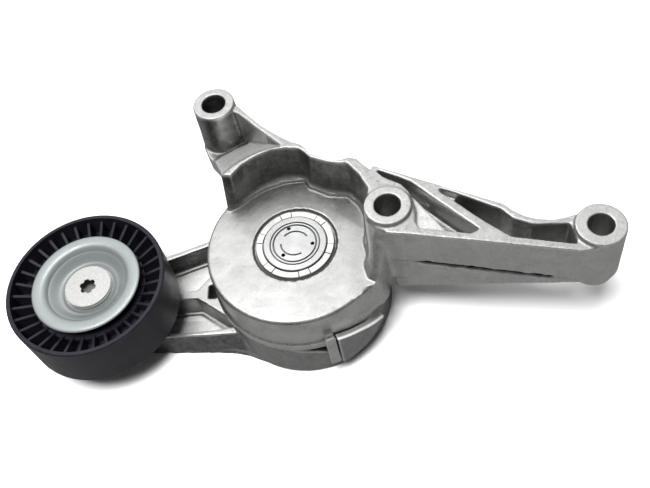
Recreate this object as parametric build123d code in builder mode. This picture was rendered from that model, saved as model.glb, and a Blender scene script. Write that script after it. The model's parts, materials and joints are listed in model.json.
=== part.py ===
from build123d import *
import os
from math import cos, radians, sin

# Automatic belt tensioner: a cast bracket with a spring drum, a sprung lever arm and a smooth idler pulley.
# Millimetres. The origin is on the arm's pivot axis, in the plane of the arm cup's flat bottom.
# +Z runs along the pivot, from the cup to the bracket's mounting faces.
# +X runs towards the long mounting leg.

os.makedirs("parts", exist_ok=True)


def polar(radius, angle):
    """Point at a radius and an angle in degrees about the pivot axis."""
    return (radius * cos(radians(angle)), radius * sin(radians(angle)))


def outline(points):
    """Closed flat face through a list of corner points."""
    with BuildSketch(mode=Mode.PRIVATE) as face:
        with BuildLine():
            Polyline(*points, close=True)
        make_face()
    return face.sketch


def ring_sector(inner, outer, start, size):
    """Flat part of a ring between two radii, from a start angle over an angular size."""
    with BuildSketch(mode=Mode.PRIVATE) as face:
        with BuildLine():
            rim = CenterArc((0, 0), outer, start, size)
            bore = CenterArc((0, 0), inner, start, size)
            Line(rim @ 0, bore @ 0)
            Line(rim @ 1, bore @ 1)
        make_face()
    return face.sketch


# ---------------------------------------------------------------- driving dimensions
# Heights of the bracket
face_z = 42.3
fence_z = 61.0
boss_z = 62.3
boss_foot_z = 34.0
parting_z = 38.0
ledge_z = 43.3
drum_low_z = 22.3
lip_high_z = 26.3
leg_sweep_z = 30.0

# Spring drum
drum_r = 35.2
lip_r = 36.2
sweep_r = 39.0
chamber_r = 31.3
chamber_top_z = 37.8
hub_r = 14.5
hub_low_z = 10.0

# Mounting bosses: centre, outer radius at the top and at the foot
boss_1 = (-32.0, 58.9)
boss_2 = (37.35, 0.8)
boss_3 = (110.5, -14.6)
boss_1_r = 8.6
boss_2_r = 8.75
boss_3_r = 8.9
bore_1_r = 4.9
bore_2_r = 4.9
bore_3_r = 4.5
bore_2_depth = 22.0

# Pivot
shaft_r = 10.0
shaft_hole_r = 6.0
bush_bore_r = 10.05
bush_r = 11.3
upper_flange_r = 12.6
ring_inner_r = 12.9
ring_outer_r = 15.2
groove_r = 16.7
plate_r = 12.5
plate_z = 42.9

# Lever arm
cup_r = 35.0
cup_z = 22.0
cup_chamber_r = 31.0
cup_floor_z = 5.0
lever_z = 14.1
lever_floor_z = 3.0
rim_r = 38.5
rim_z = 28.4
rim_groove_r = 35.6
pulley_x = -85.0
pulley_y = -8.8
pad_r = 15.0
neck_r = 10.5
neck_z = 18.0

# Idler pulley and its 17 x 40 x 12 bearing
pulley_r = 32.5
pulley_low_z = 17.2
pulley_high_z = 39.7
rim_inner_r = 30.7
web_z = 28.4
web_half = 1.5
rib_count = 33
rib_width = 1.1
pulley_hub_r = 22.8
bearing_r = 20.0
bearing_bore_r = 8.5
bearing_low_z = 20.8
bearing_high_z = 32.8
bearing_mid_z = 26.8
pitch_r = 14.25
ball_r = 3.25
race_r = 3.55
ball_count = 8
inner_land_r = 11.9
outer_land_r = 16.7
seal_seat_r = 17.4
shield_z = 39.3
shield_r = 22.25
shield_floor_z = 33.6
sheet = 0.8
bolt_head_r = 9.6
bolt_head_z = 36.2
bolt_shank_r = 3.95
bolt_hole_r = 4.0
bolt_low_z = 4.0

# Arm stops: the arm's outer rim turns between two lugs under the drum
rim_start = -67.5
rim_size = 37.5
travel = 55.0
lug_size = 6.0
lug_gap = 1.0
lug_low_z = 10.0
rim_middle = rim_start + rim_size / 2

pulley_axis = Plane((pulley_x, pulley_y, 0))
pulley_section = Plane(origin=(pulley_x, pulley_y, 0), x_dir=(1, 0, 0), z_dir=(0, -1, 0))

# ---------------------------------------------------------------- bracket outlines
leg_front = [(33, -9.6), (102, -24.0)]
leg_end = (108.3, -23.8)
leg_slot_start = (31.6, 18.6)
leg_corner = (79.0, -1.7)

pocket_near = [
    (33.0, 18.9), (41.5, 14.4), (46.2, 11.6), (57.8, -0.4), (69.4, -12.0), (66.0, -13.3), (48.2, -9.3),
    (46.8, -6.0), (47.3, 1.0), (45.6, 7.0), (42.6, 11.0), (36.5, 14.6),
]
near_trough = [
    (33.0, 18.9), (41.5, 14.4), (46.2, 11.6), (57.8, -0.4), (69.4, -12.0), (66.0, -13.3), (60.6, -12.0),
    (47.6, 7.4), (43.6, 11.0), (38.0, 14.8),
]
pocket_far = [
    (56.5, 7.5), (60.2, 5.8), (77.6, -4.0), (81.5, -8.6), (88.0, -11.6), (100.3, -12.4),
    (101.8, -20.9), (80.0, -15.9), (70.6, -7.8), (60.8, 2.0), (56.8, 5.8),
]
far_trough = [
    (62.4, 4.6), (77.6, -4.0), (81.5, -8.6), (88.0, -11.6), (100.3, -12.4),
    (101.8, -20.9), (80.0, -15.9), (70.6, -7.8), (61.4, 1.6),
]
core_near = [(49.5, 5.5), (59.5, -10.0), (49.0, -7.5)]
core_far = [
    (63.5, 3.0), (77.0, -5.5), (80.8, -10.2), (87.5, -13.2), (99.0, -13.8), (100.4, -19.4), (80.8, -14.6),
    (71.0, -6.0),
]
flange_outline = [
    (8.3, 29.3), (14.0, 26.3), (17.2, 24.9), (20.0, 24.8), (23.3, 25.8), (26.3, 24.8),
    (28.2, 22.6), (31.6, 18.7), (36.8, 14.6), (42.0, 11.0), (45.2, 7.0), (47.3, 1.0),
    (46.8, -6.0), (42.0, -11.7), (33.0, -9.8), (24.0, -4.0), (10.0, 12.0),
]
fence_foot = [
    (-28.4, 19.6), (-26.6, 27.0), (-18.0, 33.0), (-6.0, 35.6), (0.6, 36.0), (4.0, 35.0),
    (6.3, 32.8), (8.3, 29.3), (9.0, 20.0), (-10.0, 14.0), (-24.0, 14.0),
]
fence_top = [
    (-26.5, 22.2), (-26.4, 27.0), (-18.0, 32.8), (-6.0, 35.5), (0.6, 35.9), (3.9, 34.8),
    (6.1, 32.6), (8.1, 29.1), (9.0, 20.0), (-10.0, 16.0), (-22.0, 17.0),
]
ramp_outline = [
    (-26.6, 22.2), (-27.6, 26.0), (-31.1, 34.4), (-34.6, 43.0), (-38.0, 47.2), (-41.0, 54.4),
    (-32.0, 58.9), (-22.5, 57.0), (-20.6, 55.8), (-12.0, 46.0), (-5.0, 40.0), (0.6, 35.9),
    (2.0, 30.0), (-20.0, 20.0),
]
boss_rib = [
    (-26.0, 58.6), (-21.6, 57.6), (-20.6, 56.0), (-12.0, 46.2), (-5.0, 40.2), (0.8, 36.1),
    (0.2, 33.6), (-3.0, 34.4), (-12.4, 43.6), (-21.4, 53.2), (-26.0, 56.0),
]

# The face pocket's wall at its foot and at the fence's top, and the low ledge that runs along its foot
wall_foot = [
    (-60, 6.0), (-28.2, 18.2), (-23.6, 19.6), (-21.2, 22.6), (-16.1, 27.2), (-8.8, 31.2), (-3.0, 32.4),
    (3.0, 31.8),
    (5.0, 30.4), (6.6, 27.6), (13.4, 23.4), (19.8, 21.8), (23.2, 20.4), (26.6, 15.8), (28.6, 10.4),
    (28.6, 3.0),
    (28.4, -3.0), (28.8, -7.6), (28.0, -12.5), (29.0, -17.6), (32.0, -19.6), (34.0, -45.0), (-60, -45.0),
]
wall_top = [
    (-60, 28.4), (-26.2, 22.2), (-22.7, 21.5), (-18.4, 26.8), (-12.8, 30.6), (-7.0, 33.0), (-2.0, 33.1),
    (3.6, 32.3),
    (6.2, 30.0), (8.1, 27.5), (14.4, 24.7), (18.5, 23.4), (22.6, 23.0), (26.9, 17.4), (30.4, 10.2),
    (29.4, 4.0),
    (28.6, -1.0), (29.6, -5.0), (33.0, -8.4), (36.0, -9.6), (38.0, -12.0), (40.0, -45.0), (-60, -45.0),
]
ledge_line = [
    (-60, 6.0), (-28.2, 18.2), (-23.4, 20.0), (-19.4, 23.6), (-13.2, 27.6), (-5.0, 30.3), (3.8, 30.6),
    (5.4, 26.8),
    (13.8, 22.0), (21.2, 20.9), (25.6, 16.0), (27.7, 10.5), (27.9, 3.9), (27.0, -1.7), (28.2, -7.6),
    (27.0, -11.9), (28.4, -17.5), (32.0, -19.6), (34.0, -45.0), (-60, -45.0),
]

# ---------------------------------------------------------------- bracket housing
column_z = [leg_sweep_z, 35.0, face_z, 50.0, 58.0]
columns = [
    [(15, -15), (19.0, -29.6), (24.9, -26.7), (29.1, -24.4), (33.2, -22.0), (35.4, -18.4), (37.0, -9.0),
     (30, 5)],
    [(15, -15), (20.4, -28.6), (25.6, -25.4), (29.6, -22.9), (32.8, -20.6), (35.0, -16.2), (36.6, -9.0),
     (30, 5)],
    [(15, -15), (23.0, -26.6), (27.4, -23.0), (30.2, -20.8), (32.0, -19.2), (34.6, -14.0), (36.2, -9.2),
     (30, 5)],
    [(26, -4), (27.4, -8.0), (28.0, -11.6), (30.0, -13.6), (32.6, -13.2), (34.6, -11.6), (36.4, -9.2),
     (30, 5)],
    [(27, -1), (28.6, -3.0), (29.8, -5.0), (31.4, -6.6), (33.2, -7.6), (35.2, -8.4), (37.2, -8.6), (30, 5)],
]
leg_low = [(30, 26.8), (39, 22.8), (50, 26.0), (102, 39.4), (125, 39.4), (125, 10), (30, 10)]
drum_section = [
    (0, drum_low_z), (drum_r, drum_low_z), (drum_r, face_z - 1.0), (drum_r - 0.3, face_z - 0.3),
    (drum_r - 1.0, face_z), (0, face_z),
]
web_section = [(33.9, fence_z + 0.1), (58.0, 42.0), (110, 42.0), (110, 90), (33.9, 90)]

with BuildPart() as housing:
    # Long mounting leg: a deep beam with a curved waist
    with BuildSketch(Plane.XY.offset(20)):
        with BuildLine():
            Line(leg_front[0], leg_front[1])
            Line(leg_front[1], leg_end)
            Line(leg_end, (108, -8.5))
            Line((108, -8.5), (101, -9.0))
            ThreePointArc((101, -9.0), (88.5, -8.9), leg_corner)
            Line(leg_corner, (32.6, 20.7))
            Line((32.6, 20.7), leg_slot_start)
            Line(leg_slot_start, leg_front[0])
        make_face()
    extrude(amount=fence_z - 20)

    # Its underside rises towards the far end
    with BuildSketch(Plane.XZ.offset(-60)):
        add(outline(leg_low))
    extrude(amount=120, mode=Mode.SUBTRACT)

    # Each pocket has a shallow floor and a deep trough; cores from below leave thin floors
    for area, low_z, high_z in (
        (pocket_near, 55.5, 70), (near_trough, 50, 70), (pocket_far, 57.5, 70), (far_trough, 44, 70),
        (core_near, 10, 52), (core_far, 10, 41),
    ):
        with BuildSketch(Plane.XY.offset(low_z)):
            add(outline(area))
        extrude(amount=high_z - low_z, mode=Mode.SUBTRACT)

    # Flange block beside the drum, and the fence round the face pocket
    with BuildSketch(Plane.XY.offset(drum_low_z + 8)):
        add(outline(flange_outline))
    extrude(amount=fence_z - drum_low_z - 8)
    with BuildSketch(Plane.XY.offset(face_z - 2)):
        add(outline(fence_foot))
    with BuildSketch(Plane.XY.offset(fence_z)):
        add(outline(fence_top))
    loft(ruled=True)

    # Sloping web from the fence down to the first boss
    with BuildSketch(Plane.XY.offset(boss_foot_z)):
        add(outline(ramp_outline))
    extrude(amount=fence_z - boss_foot_z)

    # Column under the second boss that carries the leg's root past the drum
    for low_z, low_outline, high_z, high_outline in zip(column_z, columns, column_z[1:], columns[1:]):
        with BuildSketch(Plane.XY.offset(low_z)):
            add(outline(low_outline))
        with BuildSketch(Plane.XY.offset(high_z)):
            add(outline(high_outline))
        loft(ruled=True)

# The web's top is a cone about the pivot, running down to a flat land round the first boss
with BuildPart() as web_cut:
    with BuildSketch(Plane.XZ):
        add(outline(web_section))
    revolve(axis=Axis.Z)
    with BuildSketch(Plane.XY.offset(30)):
        add(outline([(-110, 0), (-29.0, 14.0), (0.6, 33.4), (30, 110), (-110, 110)]))
    extrude(amount=60, mode=Mode.INTERSECT)

with BuildPart() as face_pocket:
    with BuildSketch(Plane.XY.offset(ledge_z)):
        add(outline(wall_foot))
    with BuildSketch(Plane.XY.offset(fence_z)):
        add(outline(wall_top))
    loft(ruled=True)
    with BuildSketch(Plane.XY.offset(fence_z)):
        add(outline(wall_top))
    extrude(amount=10)
    with BuildSketch(Plane.XY.offset(face_z)):
        add(outline(ledge_line))
    extrude(amount=ledge_z - face_z)

with housing:
    add(web_cut.part, mode=Mode.SUBTRACT)
    with BuildSketch(Plane.XY.offset(boss_foot_z + 4)):
        add(outline(boss_rib))
    extrude(amount=fence_z - boss_foot_z - 4)
    add(face_pocket.part, mode=Mode.SUBTRACT)

    # Room for the arm's outer rim to swing under the leg's root
    with BuildSketch():
        Circle(sweep_r)
    extrude(amount=leg_sweep_z, mode=Mode.SUBTRACT)

    # Drum with its rounded face edge, bottom lip and stop lugs
    with BuildSketch(Plane.XZ):
        add(outline(drum_section))
    revolve(axis=Axis.Z)
    with BuildSketch(Plane.XY.offset(drum_low_z)):
        add(ring_sector(chamber_r, lip_r, rim_start + rim_size + travel + 2, 360 - rim_size - travel - 9))
    extrude(amount=lip_high_z - drum_low_z)
    for lug_start in (rim_start - lug_gap - lug_size, rim_start + rim_size + travel + lug_gap):
        with BuildSketch(Plane.XY.offset(lug_low_z)):
            add(ring_sector(cup_r + 0.3, rim_r, lug_start, lug_size))
        extrude(amount=leg_sweep_z - lug_low_z)
        with BuildSketch(Plane.XY.offset(drum_low_z)):
            add(ring_sector(drum_r - 1, cup_r + 1, lug_start, lug_size))
        extrude(amount=leg_sweep_z - drum_low_z)

    # Bosses, standing a step above the flange; the far one steps in below its parting line
    with BuildSketch(Plane.XY.offset(boss_foot_z).move(Location(boss_3))):
        Circle(boss_3_r - 0.7)
    extrude(amount=8)
    for centre, radius, foot_z, flare in (
        (boss_1, boss_1_r, boss_foot_z, 1.1), (boss_2, boss_2_r, boss_foot_z, 0.5),
        (boss_3, boss_3_r, parting_z, 0.5),
    ):
        with BuildSketch(Plane.XY.offset(foot_z).move(Location(centre))):
            Circle(radius + flare)
        with BuildSketch(Plane.XY.offset(boss_z).move(Location(centre))):
            Circle(radius)
        loft()

    # Spring chamber, hub and pivot bore
    with BuildSketch():
        Circle(chamber_r)
    extrude(amount=chamber_top_z, mode=Mode.SUBTRACT)
    with BuildSketch(Plane.XY.offset(hub_low_z)):
        Circle(hub_r)
    extrude(amount=face_z - hub_low_z)
    with BuildSketch():
        Circle(bush_r)
    extrude(amount=boss_z, mode=Mode.SUBTRACT)
    with BuildSketch(Plane.XY.offset(39.4)):
        Circle(upper_flange_r)
    extrude(amount=10, mode=Mode.SUBTRACT)
    with BuildSketch(Plane.XY.offset(40.5)):
        Circle(ring_outer_r)
    extrude(amount=10, mode=Mode.SUBTRACT)
    with BuildSketch(Plane.XY.offset(41.0)):
        Circle(groove_r)
        Circle(ring_outer_r, mode=Mode.SUBTRACT)
    extrude(amount=10, mode=Mode.SUBTRACT)

    # Mounting bores
    with BuildSketch(Plane.XY.move(Location(boss_1))):
        Circle(bore_1_r)
    extrude(amount=80, mode=Mode.SUBTRACT)
    with BuildSketch(Plane.XY.move(Location(boss_3))):
        Circle(bore_3_r)
    extrude(amount=80, mode=Mode.SUBTRACT)
    with BuildSketch(Plane.XY.offset(boss_z - bore_2_depth).move(Location(boss_2))):
        Circle(bore_2_r)
    extrude(amount=80, mode=Mode.SUBTRACT)
housing.part.label = "housing"
export_step(housing.part, "parts/housing.step")
print("housing", housing.part.volume, len(housing.part.solids()), housing.part.is_valid)

# ---------------------------------------------------------------- pivot bushes and front stack
with BuildPart() as upper_bush:
    with BuildSketch(Plane.XY.offset(27.0)):
        Circle(bush_r)
    extrude(amount=13.0)
    with BuildSketch(Plane.XY.offset(39.4)):
        Circle(upper_flange_r)
    extrude(amount=1.1)
    with BuildSketch(Plane.XY.offset(20.0)):
        Circle(bush_bore_r)
    extrude(amount=30, mode=Mode.SUBTRACT)
upper_bush.part.label = "upper_bush"
export_step(upper_bush.part, "parts/upper_bush.step")

with BuildPart() as lower_bush:
    with BuildSketch(Plane.XY.offset(hub_low_z - 1.2)):
        Circle(bush_r)
    extrude(amount=13.0)
    with BuildSketch(Plane.XY.offset(hub_low_z - 1.2)):
        Circle(hub_r)
    extrude(amount=1.2)
    with BuildSketch():
        Circle(bush_bore_r)
    extrude(amount=50, mode=Mode.SUBTRACT)
lower_bush.part.label = "lower_bush"
export_step(lower_bush.part, "parts/lower_bush.step")

# Friction ring in the face recess: six short raised pads and six long ones, parted by slots
pad_middles = [106, 46, -14, -74, -134, 166]
short_pad = 16
slot_angle = 1.6
with BuildPart() as friction_ring:
    with BuildSketch(Plane.XY.offset(40.5)):
        Circle(ring_outer_r)
        Circle(ring_inner_r, mode=Mode.SUBTRACT)
    extrude(amount=1.0)
    for middle in pad_middles:
        with BuildSketch(Plane.XY.offset(41.5)):
            add(ring_sector(ring_inner_r, ring_outer_r, middle - short_pad / 2, short_pad))
        extrude(amount=1.1)
        with BuildSketch(Plane.XY.offset(41.5)):
            start = middle + short_pad / 2 + slot_angle
            add(ring_sector(ring_inner_r, ring_outer_r, start, 60 - short_pad - 2 * slot_angle))
        extrude(amount=0.9)
friction_ring.part.label = "friction_ring"
export_step(friction_ring.part, "parts/friction_ring.step")

# Retaining plate on the shaft's end, with turned grooves and three small holes
with BuildPart() as retaining_plate:
    with BuildSketch(Plane.XY.offset(40.6)):
        Circle(plate_r)
    extrude(amount=plate_z - 40.6)
    chamfer(retaining_plate.faces().sort_by(Axis.Z)[-1].edges(), length=0.3)
    with BuildSketch(Plane.XY.offset(37.0)):
        Circle(shaft_hole_r)
    extrude(amount=3.6)
    with BuildSketch(Plane.XY.offset(plate_z)):
        Circle(10.0)
        Circle(9.4, mode=Mode.SUBTRACT)
    extrude(amount=-0.6, mode=Mode.SUBTRACT)
    with BuildSketch(Plane.XY.offset(plate_z)):
        Circle(8.8)
        Circle(8.1, mode=Mode.SUBTRACT)
    extrude(amount=-0.6, mode=Mode.SUBTRACT)
    for groove_start, groove_size in ((30, 110), (180, 120)):
        with BuildSketch(Plane.XY.offset(plate_z)):
            add(ring_sector(5.1, 5.8, groove_start, groove_size))
        extrude(amount=-0.5, mode=Mode.SUBTRACT)
    with BuildSketch(Plane.XY.offset(plate_z)):
        with Locations(polar(7.4, 110), polar(7.0, -6), polar(6.8, 230)):
            Circle(0.8)
    extrude(amount=-1.6, mode=Mode.SUBTRACT)
retaining_plate.part.label = "retaining_plate"
export_step(retaining_plate.part, "parts/retaining_plate.step")

with BuildPart() as pivot_shaft:
    with BuildSketch(Plane.XY.offset(3.0)):
        Circle(shaft_r)
        Circle(shaft_hole_r, mode=Mode.SUBTRACT)
    extrude(amount=37.6)
    chamfer(pivot_shaft.faces().sort_by(Axis.Z)[0].edges(), length=0.4)
pivot_shaft.part.label = "pivot_shaft"
export_step(pivot_shaft.part, "parts/pivot_shaft.step")

# ---------------------------------------------------------------- spring and damper
spring_wire_r = 2.3
spring_coil_r = 23.6
spring_pitch = 5.2
spring_low_z = 7.6
spring_turns = 4.8
with BuildPart() as torsion_spring:
    with BuildLine(Plane.XY.offset(spring_low_z)) as coil:
        Helix(spring_pitch, spring_pitch * spring_turns, spring_coil_r)
    with BuildSketch(Plane(origin=coil.line @ 0, z_dir=coil.line % 0)):
        Circle(spring_wire_r)
    sweep(is_frenet=True)
torsion_spring.part.label = "torsion_spring"
export_step(torsion_spring.part, "parts/torsion_spring.step")

with BuildPart() as spring_sleeve:
    with BuildSketch(Plane.XY.offset(12.0)):
        Circle(17.2)
    extrude(amount=chamber_top_z - 12.0)
    with BuildSketch(Plane.XY.offset(chamber_top_z - 1.5)):
        Circle(28.0)
    extrude(amount=1.5)
    with BuildSketch():
        Circle(hub_r)
    extrude(amount=60, mode=Mode.SUBTRACT)
spring_sleeve.part.label = "spring_sleeve"
export_step(spring_sleeve.part, "parts/spring_sleeve.step")

with BuildPart() as damping_band:
    with BuildSketch(Plane.XY.offset(cup_floor_z + 1)):
        add(ring_sector(28.6, cup_chamber_r, 200, 330))
    extrude(amount=27.5)
damping_band.part.label = "damping_band"
export_step(damping_band.part, "parts/damping_band.step")

with BuildPart() as damper_spring_strip:
    with BuildSketch(Plane.XY.offset(cup_floor_z + 3)):
        add(ring_sector(28.0, 28.6, 205, 320))
    extrude(amount=23.0)
damper_spring_strip.part.label = "damper_spring_strip"
export_step(damper_spring_strip.part, "parts/damper_spring_strip.step")

# ---------------------------------------------------------------- lever arm
upper_rib = [(-26.0, 30.5), (-43.5, 23.6), (-60.0, 17.6), (-85.0, 8.4), (-85.0, 5.6), (-60.0, 15.0),
             (-44.0, 20.6), (-26.0, 27.6)]
lower_rib_foot = [(-18.0, -29.8), (-25.6, -26.4), (-31.3, -24.9), (-40.0, -24.0), (-54.5, -23.2),
                  (-69.0, -22.3), (-85.0, -22.0), (-85.0, -18.5), (-53.0, -19.8), (-34.0, -19.6),
                  (-24.0, -17.0)]
lower_rib_top = [(-18.0, -27.4), (-23.6, -24.0), (-28.0, -22.6), (-40.0, -22.9), (-54.5, -22.5),
                 (-69.0, -21.8), (-85.0, -21.6), (-85.0, -19.4), (-53.0, -21.1), (-36.7, -20.5),
                 (-24.0, -18.5)]
middle_web = [(-32.0, 10.0), (-40.5, 6.5), (-46.5, -1.0), (-56.0, -1.6), (-75.0, -3.0), (-75.0, -6.4),
              (-56.0, -5.4), (-46.5, -5.0), (-38.0, -11.0), (-30.5, -16.4)]
lever_outline = [(-26.0, 30.5), (-43.5, 23.6), (-60.0, 17.6), (-85.0, 8.4), (-85.0, -22.0), (-69.0, -22.3),
                 (-54.5, -23.2), (-40.0, -24.0), (-31.3, -24.9), (-25.6, -26.4), (-18.0, -29.8)]
cup_section = [
    (0, 0), (cup_r - 1.6, 0), (cup_r - 0.5, 0.5), (cup_r, 1.6), (cup_r, cup_z), (0, cup_z),
]
# The outer rim is lens-shaped seen from outside: distance along the rim's chord, and height
rim_profile = [
    (-14, 8.0), (-8.8, 9.0), (0.5, 12.0), (6.5, 15.0), (10.5, 18.2),
    (7.8, 19.8), (2.5, 22.7), (-2.2, 25.0), (-7.5, 26.8), (-12.5, 28.4), (-14, 28.4),
]
rim_plane = Plane(
    origin=(0, 0, 0),
    x_dir=(-sin(radians(rim_middle)), cos(radians(rim_middle)), 0),
    z_dir=(cos(radians(rim_middle)), sin(radians(rim_middle)), 0),
)

# Window in the cup's wall under the drum's lip, seen along the radius through its middle
window_middle = -84.0
window_profile = [(-8.6, 20.4), (-3.0, 18.8), (2.0, 17.2), (6.6, 14.6), (6.6, 30), (-8.6, 30)]
window_plane = Plane(
    origin=(22 * cos(radians(window_middle)), 22 * sin(radians(window_middle)), 0),
    x_dir=(-sin(radians(window_middle)), cos(radians(window_middle)), 0),
    z_dir=(cos(radians(window_middle)), sin(radians(window_middle)), 0),
)

with BuildPart() as arm_rim:
    with BuildSketch(Plane.XY.offset(4)):
        add(ring_sector(cup_r - 2, rim_r, rim_start, rim_size))
    extrude(amount=rim_z - 4)
    with BuildSketch(rim_plane):
        add(outline(rim_profile))
    extrude(amount=60, mode=Mode.INTERSECT)

with BuildPart() as lever_arm:
    # Floor plate with its edge ribs, and the central web
    with BuildSketch():
        add(outline(lever_outline))
    extrude(amount=lever_floor_z)
    with BuildSketch():
        add(outline(upper_rib))
        add(outline(middle_web))
    extrude(amount=lever_z)
    with BuildSketch():
        add(outline(lower_rib_foot))
    with BuildSketch(Plane.XY.offset(lever_z)):
        add(outline(lower_rib_top))
    loft(ruled=True)
    with BuildSketch(pulley_axis):
        Circle(pad_r)
    extrude(amount=lever_z)
    with BuildSketch(pulley_axis):
        Circle(neck_r)
    extrude(amount=neck_z)

    # Spring cup, with its raised outer rim
    with BuildSketch(Plane.XZ):
        add(outline(cup_section))
    revolve(axis=Axis.Z)
    add(arm_rim.part)
    with BuildSketch(Plane.XY.offset(cup_z)):
        Circle(rim_groove_r)
    extrude(amount=10, mode=Mode.SUBTRACT)
    with BuildSketch(Plane.XY.offset(cup_floor_z)):
        Circle(cup_chamber_r)
    extrude(amount=30, mode=Mode.SUBTRACT)
    with BuildSketch(window_plane):
        add(outline(window_profile))
    extrude(amount=30, mode=Mode.SUBTRACT)

    # Hub that holds the pivot shaft
    with BuildSketch():
        Circle(16.0)
    extrude(amount=8.7)
    with BuildSketch(Plane.XY.offset(3.0)):
        Circle(shaft_r)
    extrude(amount=20, mode=Mode.SUBTRACT)

    # Locking pin slot through the web, and the pulley bolt's hole
    with BuildSketch():
        with Locations((-39.5, -2.2)):
            Rectangle(4.0, 6.5)
    extrude(amount=30, mode=Mode.SUBTRACT)
    with BuildSketch(Plane(origin=(pulley_x, pulley_y, bolt_low_z))):
        Circle(bolt_hole_r)
    extrude(amount=30, mode=Mode.SUBTRACT)

    # Cored recess in the cup's bottom, with radial stiffeners
    with BuildSketch():
        Circle(29.0)
        Circle(12.0, mode=Mode.SUBTRACT)
        with PolarLocations(20.5, 8, start_angle=22.5):
            Rectangle(20.0, 2.6, mode=Mode.SUBTRACT)
    extrude(amount=1.6, mode=Mode.SUBTRACT)
lever_arm.part.label = "lever_arm"
export_step(lever_arm.part, "parts/lever_arm.step")
print("lever_arm", lever_arm.part.volume, len(lever_arm.part.solids()), lever_arm.part.is_valid)

# ---------------------------------------------------------------- idler pulley
rib_section = [
    (pulley_hub_r - 1, 21.5), (rim_inner_r + 0.5, 19.0), (rim_inner_r + 0.5, 37.4),
    (pulley_hub_r - 1, 34.4),
]
shell_section = [
    (bearing_r, bearing_low_z), (bearing_r - 1.2, bearing_low_z), (bearing_r - 1.2, bearing_low_z - 1.0),
    (pulley_hub_r, bearing_low_z - 1.0), (pulley_hub_r, web_z - web_half), (rim_inner_r, web_z - web_half),
    (rim_inner_r, pulley_low_z), (pulley_r - 0.5, pulley_low_z), (pulley_r, pulley_low_z + 0.5),
    (pulley_r, pulley_high_z - 0.5), (pulley_r - 0.5, pulley_high_z), (rim_inner_r, pulley_high_z),
    (rim_inner_r, web_z + web_half), (pulley_hub_r, web_z + web_half), (pulley_hub_r, bearing_high_z + 1.0),
    (bearing_r - 1.2, bearing_high_z + 1.0), (bearing_r - 1.2, bearing_high_z), (bearing_r, bearing_high_z),
]
pulley_line = Axis((pulley_x, pulley_y, 0), (0, 0, 1))

with BuildPart() as pulley_shell:
    with BuildSketch(pulley_section):
        add(outline(shell_section))
    revolve(axis=pulley_line)
    for index in range(rib_count):
        angle = index * 360 / rib_count
        rib_plane = Plane(
            origin=(pulley_x, pulley_y, 0),
            x_dir=(cos(radians(angle)), sin(radians(angle)), 0),
            z_dir=(sin(radians(angle)), -cos(radians(angle)), 0),
        )
        with BuildSketch(rib_plane):
            add(outline(rib_section))
        extrude(amount=rib_width / 2, both=True)
pulley_shell.part.label = "pulley_shell"
export_step(pulley_shell.part, "parts/pulley_shell.step")
print("pulley_shell", pulley_shell.part.volume, len(pulley_shell.part.solids()), pulley_shell.part.is_valid)


def turned_part(section):
    """Solid of revolution about the pulley's axis from a radius and height section."""
    with BuildPart(mode=Mode.PRIVATE) as turned:
        with BuildSketch(pulley_section):
            add(outline(section))
        revolve(axis=pulley_line)
    return turned.part


with BuildPart() as bearing_outer_ring:
    add(turned_part([
        (outer_land_r, bearing_low_z + 1.6), (seal_seat_r, bearing_low_z + 1.4),
        (seal_seat_r, bearing_low_z),
        (bearing_r, bearing_low_z), (bearing_r, bearing_high_z), (seal_seat_r, bearing_high_z),
        (seal_seat_r, bearing_high_z - 1.4), (outer_land_r, bearing_high_z - 1.6),
    ]))
    with BuildSketch(pulley_section):
        with Locations((pitch_r, bearing_mid_z)):
            Circle(race_r)
    revolve(axis=pulley_line, mode=Mode.SUBTRACT)
bearing_outer_ring.part.label = "bearing_outer_ring"
export_step(bearing_outer_ring.part, "parts/bearing_outer_ring.step")

with BuildPart() as bearing_inner_ring:
    add(turned_part([
        (bearing_bore_r, bearing_low_z), (inner_land_r, bearing_low_z),
        (inner_land_r, bearing_high_z), (bearing_bore_r, bearing_high_z),
    ]))
    with BuildSketch(pulley_section):
        with Locations((pitch_r, bearing_mid_z)):
            Circle(race_r)
    revolve(axis=pulley_line, mode=Mode.SUBTRACT)
bearing_inner_ring.part.label = "bearing_inner_ring"
export_step(bearing_inner_ring.part, "parts/bearing_inner_ring.step")

with BuildPart() as bearing_balls:
    for index in range(ball_count):
        angle = radians(index * 360 / ball_count)
        with Locations((pulley_x + pitch_r * cos(angle), pulley_y + pitch_r * sin(angle), bearing_mid_z)):
            Sphere(ball_r)
bearing_balls.part.label = "bearing_balls"
export_step(bearing_balls.part, "parts/bearing_balls.step")

with BuildPart() as bearing_cage:
    add(turned_part([(13.2, 22.6), (15.3, 22.6), (15.3, 28.2), (13.2, 28.2)]))
    for index in range(ball_count):
        angle = radians(index * 360 / ball_count)
        with Locations((pulley_x + pitch_r * cos(angle), pulley_y + pitch_r * sin(angle), bearing_mid_z)):
            Sphere(ball_r + 0.1, mode=Mode.SUBTRACT)
bearing_cage.part.label = "bearing_cage"
export_step(bearing_cage.part, "parts/bearing_cage.step")

seal_section = [(inner_land_r + 0.3, 0.0), (seal_seat_r, 0.0), (seal_seat_r, 0.8),
(inner_land_r + 0.3, 0.8)]
with BuildPart() as front_seal:
    add(turned_part([(radius, bearing_high_z - 1.2 + height) for radius, height in seal_section]))
front_seal.part.label = "front_seal"
export_step(front_seal.part, "parts/front_seal.step")

with BuildPart() as rear_seal:
    add(turned_part([(radius, bearing_low_z + 0.4 + height) for radius, height in seal_section]))
rear_seal.part.label = "rear_seal"
export_step(rear_seal.part, "parts/rear_seal.step")

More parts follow.
